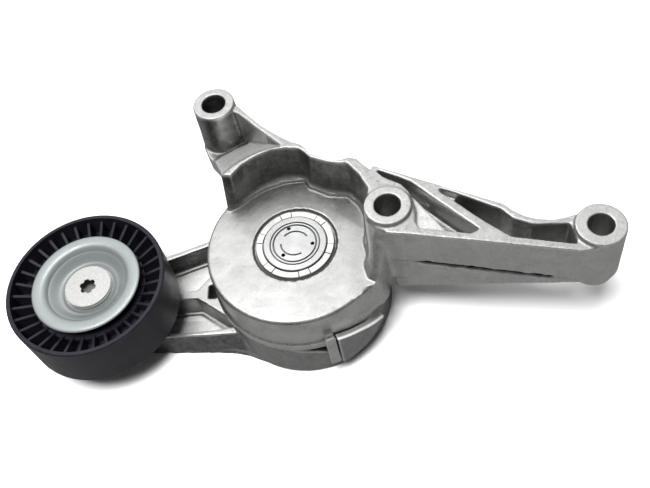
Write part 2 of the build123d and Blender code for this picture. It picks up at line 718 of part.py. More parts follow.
with BuildPart() as bearing_spacer:
    add(turned_part([
        (bolt_hole_r + 0.2, neck_z + sheet), (11.5, neck_z + sheet), (11.5, bearing_low_z),
        (bearing_bore_r, bearing_low_z), (bearing_bore_r, bearing_high_z - 0.4),
        (bolt_hole_r + 0.2, bearing_high_z - 0.4),
    ]))
bearing_spacer.part.label = "bearing_spacer"
export_step(bearing_spacer.part, "parts/bearing_spacer.step")

# Pressed sheet shields, the front one dished down to the bearing
with BuildPart() as front_shield:
    add(turned_part([
        (bolt_hole_r + 0.2, shield_floor_z - sheet), (11.3, shield_floor_z - sheet),
        (12.0, shield_floor_z + 0.1),
        (13.0, 34.2), (17.2, 37.6), (18.2, shield_z - sheet), (shield_r, shield_z - sheet),
        (shield_r, shield_z - 0.25), (shield_r - 0.25, shield_z), (18.0, shield_z), (17.1, 38.7),
        (16.5, 38.2),
        (12.3, 34.8), (11.5, 34.6), (10.9, 34.3), (10.6, shield_floor_z),
        (bolt_hole_r + 0.2, shield_floor_z),
    ]))
front_shield.part.label = "front_shield"
export_step(front_shield.part, "parts/front_shield.step")

with BuildPart() as rear_shield:
    add(turned_part([
        (bolt_hole_r + 0.2, neck_z), (19.5, neck_z), (19.5, neck_z + sheet),
        (bolt_hole_r + 0.2, neck_z + sheet),
    ]))
rear_shield.part.label = "rear_shield"
export_step(rear_shield.part, "parts/rear_shield.step")

with BuildPart() as bolt_washer:
    add(turned_part([
        (bolt_hole_r + 0.2, shield_floor_z), (9.9, shield_floor_z), (9.9, shield_floor_z + 0.8),
        (bolt_hole_r + 0.2, shield_floor_z + 0.8),
    ]))
bolt_washer.part.label = "bolt_washer"
export_step(bolt_washer.part, "parts/bolt_washer.step")

# Pulley bolt with a flat head and a six-lobed socket
socket_r = 3.35
with BuildPart() as pulley_bolt:
    add(turned_part([
        (0, bolt_low_z + 1), (bolt_shank_r - 0.6, bolt_low_z + 1), (bolt_shank_r, bolt_low_z + 1.6),
        (bolt_shank_r, 34.4), (9.1, 34.4), (bolt_head_r, 34.9), (bolt_head_r, bolt_head_z - 0.3),
        (bolt_head_r - 0.3, bolt_head_z), (0, bolt_head_z),
    ]))
    with BuildSketch(Plane(origin=(pulley_x, pulley_y, bolt_head_z))):
        Circle(socket_r)
        with PolarLocations(socket_r + 0.35, 6, start_angle=20):
            Circle(0.95, mode=Mode.SUBTRACT)
    extrude(amount=-2.6, mode=Mode.SUBTRACT)
pulley_bolt.part.label = "pulley_bolt"
export_step(pulley_bolt.part, "parts/pulley_bolt.step")
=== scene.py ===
import json
import math

import bpy
import numpy as np
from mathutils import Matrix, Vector, noise


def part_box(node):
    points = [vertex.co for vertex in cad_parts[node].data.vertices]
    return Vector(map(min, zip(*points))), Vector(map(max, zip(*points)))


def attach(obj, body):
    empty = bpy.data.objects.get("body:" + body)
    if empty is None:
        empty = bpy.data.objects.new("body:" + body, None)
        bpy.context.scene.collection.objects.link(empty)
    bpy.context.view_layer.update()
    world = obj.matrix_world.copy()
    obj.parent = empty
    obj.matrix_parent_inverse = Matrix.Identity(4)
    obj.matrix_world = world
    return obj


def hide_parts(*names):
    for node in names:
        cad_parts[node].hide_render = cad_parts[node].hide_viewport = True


# Looks for a belt tensioner with an idler pulley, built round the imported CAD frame.
# Metres, in the row frame: origin on the arm's pivot, Z = 0 where the arm's cup rests, +Z along the pivot.

MM = 0.001

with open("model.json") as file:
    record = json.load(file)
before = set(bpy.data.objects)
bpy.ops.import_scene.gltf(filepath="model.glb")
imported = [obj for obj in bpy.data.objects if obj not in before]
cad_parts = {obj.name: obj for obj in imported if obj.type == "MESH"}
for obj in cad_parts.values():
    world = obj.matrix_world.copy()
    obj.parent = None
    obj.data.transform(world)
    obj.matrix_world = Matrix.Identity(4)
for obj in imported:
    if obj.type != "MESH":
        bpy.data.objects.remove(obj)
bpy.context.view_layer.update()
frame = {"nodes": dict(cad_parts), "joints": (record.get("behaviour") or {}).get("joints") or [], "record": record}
scene = bpy.context.scene

# ---------------------------------------------------------------- sizes and places, in mm
def top_of(node):
    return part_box(node)[1].z / MM


def in_mm(place):
    return tuple(round(value / MM, 3) for value in place[:2])


# Heights of the drum's face, the bosses and the bolt, and those below which painted shade darkens the plate's
# grooves and pin holes and the ring's slots
FACE_Z = 42.3
PLATE_Z = top_of("retaining_plate") - 0.1
PIN_MARK_Z = PLATE_Z - 0.45
RING_Z = top_of("friction_ring") - 0.4
BOSS_Z = top_of("housing")
BOLT_Z = top_of("pulley_bolt")
SOCKET_R = 4.4
# Radii of the three bosses, which stand round the mounts' bores
BOSS_OUTER = (8.6, 8.75, 8.9)
bores = [mount for mount in frame["record"]["mounts"] if mount["kind"] == "bore"]
BOSSES = [(in_mm(bore["pos_m"]), outer, bore["dims"]["r_mm"]) for bore, outer in zip(bores, BOSS_OUTER)]
PULLEY_CENTRE = next(in_mm(joint["pos_m"]) for joint in frame["joints"] if joint["name"] == "pulley_spin")
# Foot of the leg's front wall, from its root to the far boss
LEG_FRONT = ((33.0, -9.6), (102.0, -24.0))


# ---------------------------------------------------------------- node material helpers
class Material:
    """A node material whose Principled shader and object coordinates are ready for use."""

    def __init__(self, name):
        self.material = bpy.data.materials.new(name)
        self.material.use_nodes = True
        self.tree = self.material.node_tree
        self.tree.nodes.clear()
        self.shader = self.add("ShaderNodeBsdfPrincipled")
        output = self.add("ShaderNodeOutputMaterial")
        self.link(self.shader.outputs["BSDF"], output.inputs["Surface"])
        self.place = self.add("ShaderNodeTexCoord").outputs["Object"]

    def add(self, kind, **settings):
        node = self.tree.nodes.new(kind)
        for key, value in settings.items():
            setattr(node, key, value)
        return node

    def link(self, source, target):
        self.tree.links.new(source, target)

    def set(self, **values):
        for key, value in values.items():
            self.shader.inputs[key.replace("_", " ")].default_value = value

    def noise(self, size_mm, detail=4.0, rough=0.6, distortion=0.0):
        """Noise whose blobs are about size_mm across."""
        node = self.add("ShaderNodeTexNoise")
        node.inputs["Scale"].default_value = 1.0 / (size_mm * MM)
        node.inputs["Detail"].default_value = detail
        node.inputs["Roughness"].default_value = rough
        node.inputs["Distortion"].default_value = distortion
        self.link(self.place, node.inputs["Vector"])
        return node.outputs["Fac"]

    def ramp(self, factor, stops):
        """Colour ramp through (position, colour or grey) stops."""
        node = self.add("ShaderNodeValToRGB")
        elements = node.color_ramp.elements
        while len(elements) < len(stops):
            elements.new(0.5)
        for element, (position, colour) in zip(elements, stops):
            element.position = position
            grey = colour if isinstance(colour, (tuple, list)) else (colour,) * 3
            element.color = (*grey, 1.0)
        self.link(factor, node.inputs["Fac"])
        return node.outputs["Color"]

    def span(self, factor, low, high, new_low, new_high):
        """Linear remap of a value, held between the new limits."""
        node = self.add("ShaderNodeMapRange")
        node.inputs["From Min"].default_value = low
        node.inputs["From Max"].default_value = high
        node.inputs["To Min"].default_value = new_low
        node.inputs["To Max"].default_value = new_high
        self.link(factor, node.inputs["Value"])
        return node.outputs["Result"]

    def math(self, operation, a, b=0.0):
        node = self.add("ShaderNodeMath", operation=operation)
        for socket, value in zip(node.inputs, (a, b)):
            if isinstance(value, (int, float)):
                socket.default_value = value
            else:
                self.link(value, socket)
        return node.outputs["Value"]

    def mix(self, factor, a, b):
        """Mix of two colours by a factor."""
        node = self.add("ShaderNodeMix", data_type="RGBA")
        colours = [s for s in node.inputs if s.type == "RGBA"]
        for socket, value in ((node.inputs[0], factor), (colours[0], a), (colours[1], b)):
            if isinstance(value, (int, float)):
                socket.default_value = value
            elif isinstance(value, tuple):
                socket.default_value = (*value, 1.0)
            else:
                self.link(value, socket)
        return [s for s in node.outputs if s.type == "RGBA"][0]

    def attribute(self, name):
        return self.add("ShaderNodeAttribute", attribute_name=name).outputs["Fac"]

    def bump(self, *layers):
        """Chain of bump nodes from (height, strength, distance in mm) layers."""
        normal = None
        for height, strength, distance in layers:
            node = self.add("ShaderNodeBump")
            node.inputs["Strength"].default_value = strength
            node.inputs["Distance"].default_value = distance * MM
            self.link(height, node.inputs["Height"])
            if normal is not None:
                self.link(normal, node.inputs["Normal"])
            normal = node.outputs["Normal"]
        self.link(normal, self.shader.inputs["Normal"])

    def depth(self, height_mm):
        """0 above a height, rising to 1 a third of a millimetre below it."""
        parts = self.add("ShaderNodeSeparateXYZ")
        self.link(self.place, parts.inputs["Vector"])
        return self.span(parts.outputs["Z"], height_mm * MM, (height_mm - 0.35) * MM, 0.0, 1.0)

    def radius_from(self, centre_mm):
        """Distance from a vertical axis, in metres."""
        shift = self.add("ShaderNodeVectorMath", operation="SUBTRACT")
        shift.inputs[1].default_value = (centre_mm[0] * MM, centre_mm[1] * MM, 0.0)
        self.link(self.place, shift.inputs[0])
        flat = self.add("ShaderNodeVectorMath", operation="MULTIPLY")
        flat.inputs[1].default_value = (1.0, 1.0, 0.0)
        self.link(shift.outputs["Vector"], flat.inputs[0])
        length = self.add("ShaderNodeVectorMath", operation="LENGTH")
        self.link(flat.outputs["Vector"], length.inputs[0])
        return length.outputs["Value"]


# Tones of wear and painted highlights, and of dark seams and painted shade
PAINTED_SHADE_GREY = (0.10, 0.10, 0.10)
BARE_EDGE_AND_HIGHLIGHT = (0.95, 0.95, 0.94)
BLACK_DIRT_AND_SHADE = (0.030, 0.029, 0.028)
RECESS_SHADE_GREY = (0.10, 0.10, 0.095)
SOCKET_SHADE = (0.24, 0.24, 0.235)


def cast_metal(name, low, high, rough):
    """As-cast aluminium: bright speckle over soft grey clouds, and the marks stored on the casting's points, which
    paint shade and highlights on it.
    """
    m = Material(name)
    clouds = m.noise(9.0, 5.0, 0.65, 0.4)
    speckle = m.noise(1.1, 7.0, 0.78)
    coarse = m.math("SUBTRACT", 1.0, m.attribute("polish"))
    base = m.ramp(clouds, [(0.30, low), (0.70, high)])
    light = tuple(min(1.0, c * 1.28) for c in high)
    dark = tuple(c * 0.72 for c in low)
    base = m.mix(m.math("MULTIPLY", m.span(speckle, 0.53, 0.66, 0.0, 1.0), coarse), base, light)
    base = m.mix(m.math("MULTIPLY", m.span(speckle, 0.46, 0.34, 0.0, 1.0), coarse), base, dark)
    shade_patches = m.span(m.noise(3.0, 6.0, 0.7, 0.6), 0.35, 0.65, 0.75, 1.25)
    # Painted shade from the casting's marks, in patches
    base = m.mix(m.math("MULTIPLY", m.attribute("dull"), shade_patches), base, PAINTED_SHADE_GREY)
    # Edge wear and painted highlights
    base = m.mix(m.attribute("worn"), base, BARE_EDGE_AND_HIGHLIGHT)
    # Dark seam lines, and painted shade in creases and grooves
    base = m.mix(m.attribute("grime"), base, BLACK_DIRT_AND_SHADE)
    m.link(base, m.shader.inputs["Base Color"])
    m.link(m.span(speckle, 0.3, 0.7, rough - 0.10, rough + 0.12), m.shader.inputs["Roughness"])
    m.link(m.span(m.attribute("frost"), 0.0, 1.0, 0.97, 0.50), m.shader.inputs["Metallic"])
    m.bump((m.math("MULTIPLY", clouds, coarse), 0.3, 0.6), (m.math("MULTIPLY", speckle, coarse), 0.5, 0.16))
    return m.material


def turned_metal(name, colour, rough, centre, pitch_mm, shade_steps=()):
    """Machined metal with lathe lines about a vertical axis, and (height, grey) painted shade below a height."""
    m = Material(name)
    radius = m.radius_from(centre)
    turns = m.math("MULTIPLY", radius, 2 * math.pi / (pitch_mm * MM))
    lines = m.math("SINE", turns)
    wear = m.noise(1.6, 5.0, 0.7)
    base = m.mix(m.span(wear, 0.35, 0.7, 0.0, 1.0), tuple(c * 0.86 for c in colour), colour)
    for height, grey in shade_steps:
        base = m.mix(m.depth(height), base, (grey,) * 3)
    m.link(base, m.shader.inputs["Base Color"])
    m.link(m.span(wear, 0.3, 0.7, rough - 0.06, rough + 0.08), m.shader.inputs["Roughness"])
    m.set(Metallic=1.0)
    m.bump((lines, 0.25, 0.02), (wear, 0.15, 0.05))
    return m.material


def plated_steel(name, colour, rough, grain_mm, grain, metallic=1.0, socket=None):
    """Zinc plate with a fine grain. Painted shade in a socket is given by its axis, outer radius and top height.
    """
    m = Material(name)
    speckle = m.noise(grain_mm, 5.0, 0.7)
    clouds = m.noise(7.0, 3.0, 0.5)
    dark = tuple(c * (1.0 - grain) for c in colour)
    base = m.mix(m.span(speckle, 0.35, 0.65, 0.0, 1.0), dark, colour)
    if socket is not None:
        centre, radius, height = socket
        inside = m.span(m.radius_from(centre), radius * MM, (radius + 0.1) * MM, 1.0, 0.0)
        base = m.mix(m.math("MULTIPLY", inside, m.depth(height)), base, SOCKET_SHADE)
    m.link(base, m.shader.inputs["Base Color"])
    m.link(m.span(clouds, 0.3, 0.7, rough - 0.05, rough + 0.08), m.shader.inputs["Roughness"])
    m.set(Metallic=metallic)
    m.bump((speckle, 0.2, 0.06))
    return m.material


def moulded(name, colour, rough, shade_below=None, specular=0.5):
    """Moulded plastic or rubber with a fine spark-eroded grain and cloudy gloss."""
    m = Material(name)
    grain = m.noise(0.6, 4.0, 0.6)
    clouds = m.noise(6.0, 4.0, 0.6)
    pale = tuple(min(1.0, c * 1.5 + 0.004) for c in colour)
    base = m.mix(m.span(clouds, 0.3, 0.7, 0.0, 1.0), colour, pale)
    if shade_below is not None:
        # Painted shade in the slots below a height
        base = m.mix(m.depth(shade_below), base, RECESS_SHADE_GREY)
    m.link(base, m.shader.inputs["Base Color"])
    m.link(m.span(clouds, 0.3, 0.7, rough - 0.06, rough + 0.08), m.shader.inputs["Roughness"])
    m.set(Specular_IOR_Level=specular)
    m.bump((grain, 0.2, 0.06))
    return m.material


bracket_metal = cast_metal("cast_bracket", (0.52, 0.52, 0.51), (0.70, 0.70, 0.69), 0.34)
arm_metal = cast_metal("cast_arm", (0.50, 0.50, 0.49), (0.66, 0.66, 0.65), 0.34)
# Painted shade in the plate's grooves, darker in its pin holes
plate_recess_shade = ((PLATE_Z, 0.20), (PIN_MARK_Z, 0.01))
plate_metal = turned_metal("machined_plate", (0.78, 0.79, 0.78), 0.34, (0, 0), 0.30, plate_recess_shade)
# Painted shade in the ring's slots
ring_material = moulded("friction_polymer", (0.41, 0.41, 0.40), 0.50, shade_below=RING_Z, specular=0.35)
bush_material = moulded("bush_polymer", (0.035, 0.035, 0.035), 0.5)
pulley_plastic = moulded("pulley_polymer", (0.007, 0.007, 0.011), 0.36, specular=0.36)
shield_metal = plated_steel("zinc_sheet", (0.42, 0.455, 0.455), 0.30, 0.5, 0.10, 0.74)
# Painted shade in the bolt's socket
bolt_socket = (PULLEY_CENTRE, SOCKET_R, BOLT_Z - 0.10)
bolt_metal = plated_steel("zinc_bolt", (0.82, 0.82, 0.80), 0.36, 0.7, 0.22, socket=bolt_socket)
washer_metal = plated_steel("zinc_washer", (0.72, 0.72, 0.70), 0.36, 0.7, 0.22)
shaft_metal = turned_metal("shaft_steel", (0.55, 0.55, 0.56), 0.25, (0, 0), 0.2)
spring_metal = plated_steel("spring_steel", (0.18, 0.19, 0.21), 0.35, 0.8, 0.2)
bearing_metal = plated_steel("bearing_steel", (0.72, 0.72, 0.74), 0.12, 0.4, 0.04)
seal_material = moulded("seal_rubber", (0.02, 0.02, 0.02), 0.6)

NODE_MATERIALS = {
    "upper_bush": bush_material,
    "lower_bush": bush_material,
    "friction_ring": ring_material,
    "retaining_plate": plate_metal,
    "pivot_shaft": shaft_metal,
    "torsion_spring": spring_metal,
    "spring_sleeve": bush_material,
    "damping_band": bush_material,
    "damper_spring_strip": spring_metal,
    "pulley_shell": pulley_plastic,
    "bearing_outer_ring": bearing_metal,
    "bearing_inner_ring": bearing_metal,
    "bearing_balls": bearing_metal,
    "bearing_cage": bush_material,
    "front_seal": seal_material,
    "rear_seal": seal_material,
    "bearing_spacer": shaft_metal,
    "front_shield": shield_metal,
    "rear_shield": shield_metal,
    "bolt_washer": washer_metal,
    "pulley_bolt": bolt_metal,
}
for node_name, material in NODE_MATERIALS.items():
    node_data = frame["nodes"][node_name].data
    node_data.materials.clear()
    node_data.materials.append(material)


# ---------------------------------------------------------------- castings
# Marks on each point of a casting, from 0 to 1: dark seams and painted shade in creases, painted shade,
# smoothness, wear and painted highlights, pale matt skin
MARKS = ("grime", "dull", "polish", "worn", "frost")
# Grain of the remeshed castings in mm, and the rounds of each smoothing
VOXEL = 0.45
RELAX_ROUNDS = 14
SOFTEN_ROUNDS = 40
EDGE_ROUNDS = 8

# Turned recess round the friction ring, and where the painted shade on the fence's walls ends
RECESS_R = 17.6
RECESS_LOW_Z = 39.0
FENCE_SHADE_Z = 60.8

# Torn parting line along the leg: height at the root, fall per mm of leg, start, end and depth of the groove,
# and how far the bright lip lies below it
CRACK_Z = 43.0
CRACK_FALL = 0.018
CRACK_START = 12
CRACK_END = 64
CRACK_DEPTH = 1.4
LIP_DROP = 1.25

# Thin parting line round the far boss's foot
SEAM_Z = 38.0

# Where along the leg wall the lip and the thin line run
LIP_ALONG = (12, 34)
HAIRLINE_ALONG = (2, 70)


def positions(mesh):
    """Vertex positions of a mesh in mm, as an array."""
    flat = np.empty(len(mesh.vertices) * 3, np.float32)
    mesh.vertices.foreach_get("co", flat)
    return flat.reshape(-1, 3).astype(float) / MM


def store(mesh, co):
    mesh.vertices.foreach_set("co", (co * MM).astype(np.float32).ravel())
    mesh.update()


def edge_pairs(mesh):
    flat = np.empty(len(mesh.edges) * 2, np.int32)
    mesh.edges.foreach_get("vertices", flat)
    return flat.reshape(-1, 2)


def neighbour_mean(co, pairs):
    count = np.bincount(pairs.ravel(), minlength=len(co))[:, None]
    total = np.zeros_like(co)
    for axis in range(3):
        total[:, axis] += np.bincount(pairs[:, 0], co[pairs[:, 1], axis], len(co))
        total[:, axis] += np.bincount(pairs[:, 1], co[pairs[:, 0], axis], len(co))
    return total / count


def relax(co, pairs, rounds, strength):
    """Evens a surface out; alternating signs keep it from shrinking."""
    for turn in range(rounds):
        amount = 0.6 if turn % 2 == 0 else -0.6 * (1 - strength)
        co = co + amount * (neighbour_mean(co, pairs) - co)
    return co


def step(value, low, high):
    """0 at low, 1 at high, straight between them."""
    return np.clip((value - low) / (high - low), 0, 1)


def within(value, low, high):
    """1 between two limits."""
    return (value > low) * (value < high)


def radius_about(co, centre):
    return np.hypot(co[:, 0] - centre[0], co[:, 1] - centre[1])


def uprightness(normals):
    """1 on a wall, 0 on a floor or a top."""
    return step(1 - np.abs(normals[:, 2]), 0.35, 0.7)


def leg_place(co):
    """Distance along the leg's front wall from its root, and inwards from the wall."""
    (x0, y0), (x1, y1) = LEG_FRONT
    run = np.array([x1 - x0, y1 - y0]) / math.hypot(x1 - x0, y1 - y0)
    dx, dy = co[:, 0] - x0, co[:, 1] - y0
    return dx * run[0] + dy * run[1], dy * run[0] - dx * run[1]


def deepen(marks, mark, values):
    """Raises a mark to the values where they are higher."""
    marks[mark] = np.maximum(marks[mark], values)


def remeshed(node, name, voxel_mm):
    """A new object with an even, closed copy of a CAD node's surface."""
    source = frame["nodes"][node].data.copy()
    draft = bpy.data.objects.new(name + "_draft", source)
    scene.collection.objects.link(draft)
    modifier = draft.modifiers.new("voxels", "REMESH")
    modifier.mode = "VOXEL"
    modifier.voxel_size = voxel_mm * MM
    modifier.use_smooth_shade = True
    graph = bpy.context.evaluated_depsgraph_get()
    mesh = bpy.data.meshes.new_from_object(draft.evaluated_get(graph))
    bpy.data.objects.remove(draft)
    mesh.name = name
    mesh.materials.clear()
    piece = bpy.data.objects.new(name, mesh)
    scene.collection.objects.link(piece)
    return piece


def wander(co, size_mm, seed):
    """Smooth noise in -1..1 at each point."""
    shift = Vector((seed * 17.3, seed * 5.1, seed * 9.7))
    return np.array([noise.noise(Vector(p) / size_mm + shift) for p in co])


def vertex_normals(mesh):
    flat = np.empty(len(mesh.vertices) * 3, np.float32)
    mesh.vertices.foreach_get("normal", flat)
    return flat.reshape(-1, 3).astype(float)


def set_attribute(mesh, name, values):
    attribute = mesh.attributes.new(name, "FLOAT", "POINT")
    attribute.data.foreach_set("value", values.astype(np.float32))


def in_recess(co):
    """1 in the turned recess round the friction ring."""
    return (radius_about(co, (0, 0)) < RECESS_R) * (co[:, 2] > RECESS_LOW_Z) * 1.0


def cast_piece(node, name, body, material, detail, soften=None, machined=None):
    """A remeshed CAD node with softened edges, gentle waviness, machined faces and its own marks, with wear and
    painted highlights on convex edges and painted shade in creases.
    """
    piece = remeshed(node, name, VOXEL)
    mesh = piece.data
    pairs = edge_pairs(mesh)
    rough_co = positions(mesh)
    co = relax(rough_co, pairs, RELAX_ROUNDS, 0.10)
    if soften is not None:
        blend = soften(co)[:, None]
        for _ in range(SOFTEN_ROUNDS):
            co = co + blend * 0.5 * (neighbour_mean(co, pairs) - co)
    store(mesh, co)
    normals = vertex_normals(mesh)
    waves = 0.10 * wander(co, 7.0, 1) + 0.045 * wander(co, 2.2, 2)
    smooth_co = co
    for _ in range(EDGE_ROUNDS):
        smooth_co = smooth_co + 0.5 * (neighbour_mean(smooth_co, pairs) - smooth_co)
    edge = np.einsum("ij,ij->i", co - smooth_co, normals)
    co, marks, still = detail(co, normals)
    patchy = 0.75 + 0.45 * wander(co, 3.0, 3)
    # Convex edges: wear with a painted highlight
    edge_wear_and_highlight = 0.85 * step(edge, 0.05, 0.16) * patchy * (marks["grime"] < 0.2)
    # Concave creases: painted shade
    crease_shade = 0.60 * step(-edge, 0.06, 0.20) * patchy * (1 - in_recess(co))
    deepen(marks, "worn", edge_wear_and_highlight)
    deepen(marks, "grime", crease_shade)
    co = co + normals * (waves * (1 - still) * (1 - marks["polish"]))[:, None]
    if machined is not None:
        co = machined(co, rough_co)
    store(mesh, co)
    for mark in MARKS:
        set_attribute(mesh, mark, np.clip(marks[mark], 0, 1))
    mesh.polygons.foreach_set("use_smooth", [True] * len(mesh.polygons))
    mesh.materials.append(material)
    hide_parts(node)
    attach(piece, body)


def level(co, mask, height, reach):
    """Flattens the points of a mask that lie within reach of a machined plane."""
    near = mask & (np.abs(co[:, 2] - height) < reach)
    co[near, 2] = height
    return co


def round_to(co, mask, centre, radius, reach):
    """Moves the points of a mask within reach of a cylinder onto it."""
    r = radius_about(co, centre)
    near = mask & (np.abs(r - radius) < reach)
    scale = radius / np.maximum(r[near], 1e-6)
    co[near, 0] = centre[0] + (co[near, 0] - centre[0]) * scale
    co[near, 1] = centre[1] + (co[near, 1] - centre[1]) * scale
    return co


def bracket_soften(co):
    """Where the casting blends: the column beside the drum, and the ramp round the first boss's foot."""
    x, y, z = co.T
    column = within(x, 26, 39) * within(y, -29, -3) * step(z, 30.5, 33) * step(59.5 - z, 0, 2)
    column = column * step(np.abs(z - FACE_Z) + 3 * ((x > 32) | (y < -21)), 0.6, 1.6)
    near_boss = radius_about(co, BOSSES[0][0])
    foot = within(near_boss, 8.0, 12.5) * within(z, 46, 56)
    return np.maximum(column, 0.8 * foot)


def bracket_machined(co, rough_co):
    """Puts the bosses' tops and bores back on their machined planes and cylinders."""
    for centre, outer, bore in BOSSES:
        r = radius_about(rough_co, centre)
        co = round_to(co, (r < bore + 0.8) & (rough_co[:, 2] < BOSS_Z - 0.6), centre, bore, 0.6)
        co = level(co, (r > bore + 0.35) & (r < outer - 0.3) & (rough_co[:, 2] > BOSS_Z - 0.8), BOSS_Z, 0.5)
    return co


def blank_marks(co):
    return {mark: np.zeros(len(co)) for mark in MARKS}


def face_marks(co, normals, marks):
    """Drum's face: blasted smoother than the skin round it, with painted shade on its rounded edge and a painted
    shadow under the fence.
    """
    x, y, z = co.T
    out = radius_about(co, (0, 0))
    marks["polish"] = 0.6 * uprightness(normals)
    marks["polish"] += 0.6 * (normals[:, 2] > 0.8) * within(z, 40, 44.5) * (out < 37)
    # Painted shade on the face's rounded edge
    rim = within(out, 34.0, 35.7) * (np.abs(z - FACE_Z + 0.3) < 0.9) * (y < 16)
    deepen(marks, "grime", 0.35 * rim * within(normals[:, 2], 0.2, 0.93))

    # The painted shadow ends sharply on the flange's side
    face = (normals[:, 2] > 0.8) * within(z, 40, 44.8) * (out < 38)
    shade = np.maximum(0.32 * step(y, 8, 21), 0.34 * step(x, 14, 16.5) * step(y + 0.8 * x, 25.4, 26.8))
    deepen(marks, "dull", face * shade)


def wall_marks(co, normals, marks):
    """Painted shade on the walls that face each other in the pockets, on the first boss's side and in the bores.
    """
    x, y, z = co.T
    out = radius_about(co, (0, 0))
    across = leg_place(co)[1]
    upright = uprightness(normals)
    wall = upright * step(z, 43.5, 45.5) * step(FENCE_SHADE_Z - z, 0, 1.5)
    outward = (normals[:, 0] * x + normals[:, 1] * y) / out
    face_wall = wall * step(0.3 - outward, 0, 0.3) * within(out, 20, 42) * (y > -2) * within(x, -28, 32)
    face_tone = 0.70 - 0.32 * step(-x, 13, 18) * step(56.5 - z, 0, 4) + 0.28 * step(-x, 22.6, 23.2)
    boss_side = upright * (radius_about(co, BOSSES[0][0]) < 10.6) * step(BOSS_Z - z, 0.4, 2.0)
    far_pocket = wall * step(0.3 - normals[:, 1], 0, 0.3) * step(x, 56, 68) * (x < 104) * (across > 1.5)
    for tone in (face_tone * face_wall, 0.66 * boss_side, 0.50 * far_pocket):
        deepen(marks, "dull", tone)
    for centre, _, bore in BOSSES:
        inside = (radius_about(co, centre) < bore + 0.5) * step(BOSS_Z - z, 0.5, 1.5)
        deepen(marks, "dull", 0.28 * inside)


def web_marks(co, normals, marks):
    """Rough pale skin on the sloping web behind the fence and on the shallow pocket floors."""
    x, y, z = co.T
    out = radius_about(co, (0, 0))
    ramp = step(out, 33.5, 35.0) * step(-x, -6, 0) * (y > 22) * (z > 44) * step(60.6 - z, 0, 1)
    ramp = ramp * step(normals[:, 2], 0.15, 0.75) * step(radius_about(co, BOSSES[0][0]), 8.8, 10.5)
    floors = (normals[:, 2] > 0.8) * within(x, 38, 66) * within(z, 54.5, 58.5)
    deepen(marks, "frost", np.maximum(0.85 * ramp, 0.8 * floors))


def tear_leg(co, normals, marks):
    """Torn parting line along the leg's front wall: a groove darkened with painted shade, a bright lip below it
    and a thin line.
    """
    along, across = leg_place(co)
    front = (np.abs(across) < 1.2) & (normals[:, 1] < -0.5)
    jag = np.array([noise.noise(Vector((a / 2.5, 3.3, 0))) for a in along]) * 0.28
    line_z = CRACK_Z - CRACK_FALL * along + jag
    weight = step(along, CRACK_START, CRACK_START + 6) * step(CRACK_END - along, 0, 3)
    width = 0.86 + 0.50 * np.array([noise.noise(Vector((a / 4.0, 8.1, 0))) for a in along])
    gap = np.clip(1.3 - np.abs(co[:, 2] - line_z) / np.maximum(width, 0.2), 0, 1) * weight * front
    co = co - normals * (CRACK_DEPTH * gap)[:, None]
    # Painted shade in the torn groove
    deepen(marks, "grime", np.clip(gap * 1.8, 0, 0.97))

    above = co[:, 2] - line_z
    torn_part = step(along, LIP_ALONG[0], LIP_ALONG[0] + 3) * step(LIP_ALONG[1] - along, 0, 10)
    lip = np.exp(-((above + LIP_DROP) / 0.30) ** 2) * front * torn_part
    deepen(marks, "worn", 0.8 * lip * (jag > -0.04))
    ends = step(along, HAIRLINE_ALONG[0], HAIRLINE_ALONG[0] + 4) * step(HAIRLINE_ALONG[1] - along, 0, 4)
    deepen(marks, "grime", 0.5 * np.exp(-(above / 0.22) ** 2) * front * ends)
    return co


def bracket_detail(co, normals):
    marks = blank_marks(co)
    face_marks(co, normals, marks)
    wall_marks(co, normals, marks)
    web_marks(co, normals, marks)
    still = np.zeros(len(co))
    for centre, outer, _ in BOSSES:
        top = (radius_about(co, centre) < outer + 1) & (co[:, 2] > BOSS_Z - 2)
        still = np.maximum(still, top * 1.0)
        deepen(marks, "worn", 0.30 * top * (normals[:, 2] > 0.8))
    co = tear_leg(co, normals, marks)
    from_boss = radius_about(co, BOSSES[2][0])
    seam = np.exp(-((co[:, 2] - SEAM_Z) / 0.30) ** 2) * within(from_boss, 7.0, 11.0)
    deepen(marks, "grime", 0.70 * seam)
    return co, marks, still


def arm_detail(co, normals):
    marks = blank_marks(co)
    x, y, z = co.T
    out = radius_about(co, (0, 0))
    upright = uprightness(normals)

    # Painted shade on the walls, darkest on the inner side of the lever's upper rib
    lever = upright * (x < -26)
    upper_rib = lever * (y > 7) * step(-normals[:, 1], 0.3, 0.6)
    lower_wall = lever * (y < -10) * step(-normals[:, 1], 0.4, 0.7)
    inner_wall = lever * within(y, -21, 12) * (z > 3)
    marks["grime"] = 0.45 * upper_rib
    for tone in (0.46 * upright, 0.50 * inner_wall, 0.76 * lower_wall, 0.95 * upper_rib):
        deepen(marks, "dull", tone)

    # The web's floor is rough and pale, and lightened with painted light
    web_floor = (normals[:, 2] > 0.85) * (x < -28) * within(z, 3, 13)
    marks["frost"] = 0.9 * web_floor
    marks["worn"] = 0.60 * web_floor * (y > -10)
    marks["polish"] = 0.85 - 0.50 * web_floor

    # Raised rim beside the cup: a matt top with a painted highlight on its outer edge
    rim_top = (out > 35.3) * (normals[:, 2] > 0.3) * (z > 14) * (x > 5)
    outer_edge = step(out, 37.3, 37.7)
    deepen(marks, "frost", rim_top * (0.35 + 0.65 * outer_edge))
    deepen(marks, "worn", rim_top * outer_edge)
    return co, marks, np.zeros(len(co))


cast_piece(
    "housing", "bracket_casting", "bracket", bracket_metal,
    bracket_detail, bracket_soften, bracket_machined,
)
cast_piece("lever_arm", "arm_casting", "tensioner_arm", arm_metal, arm_detail)


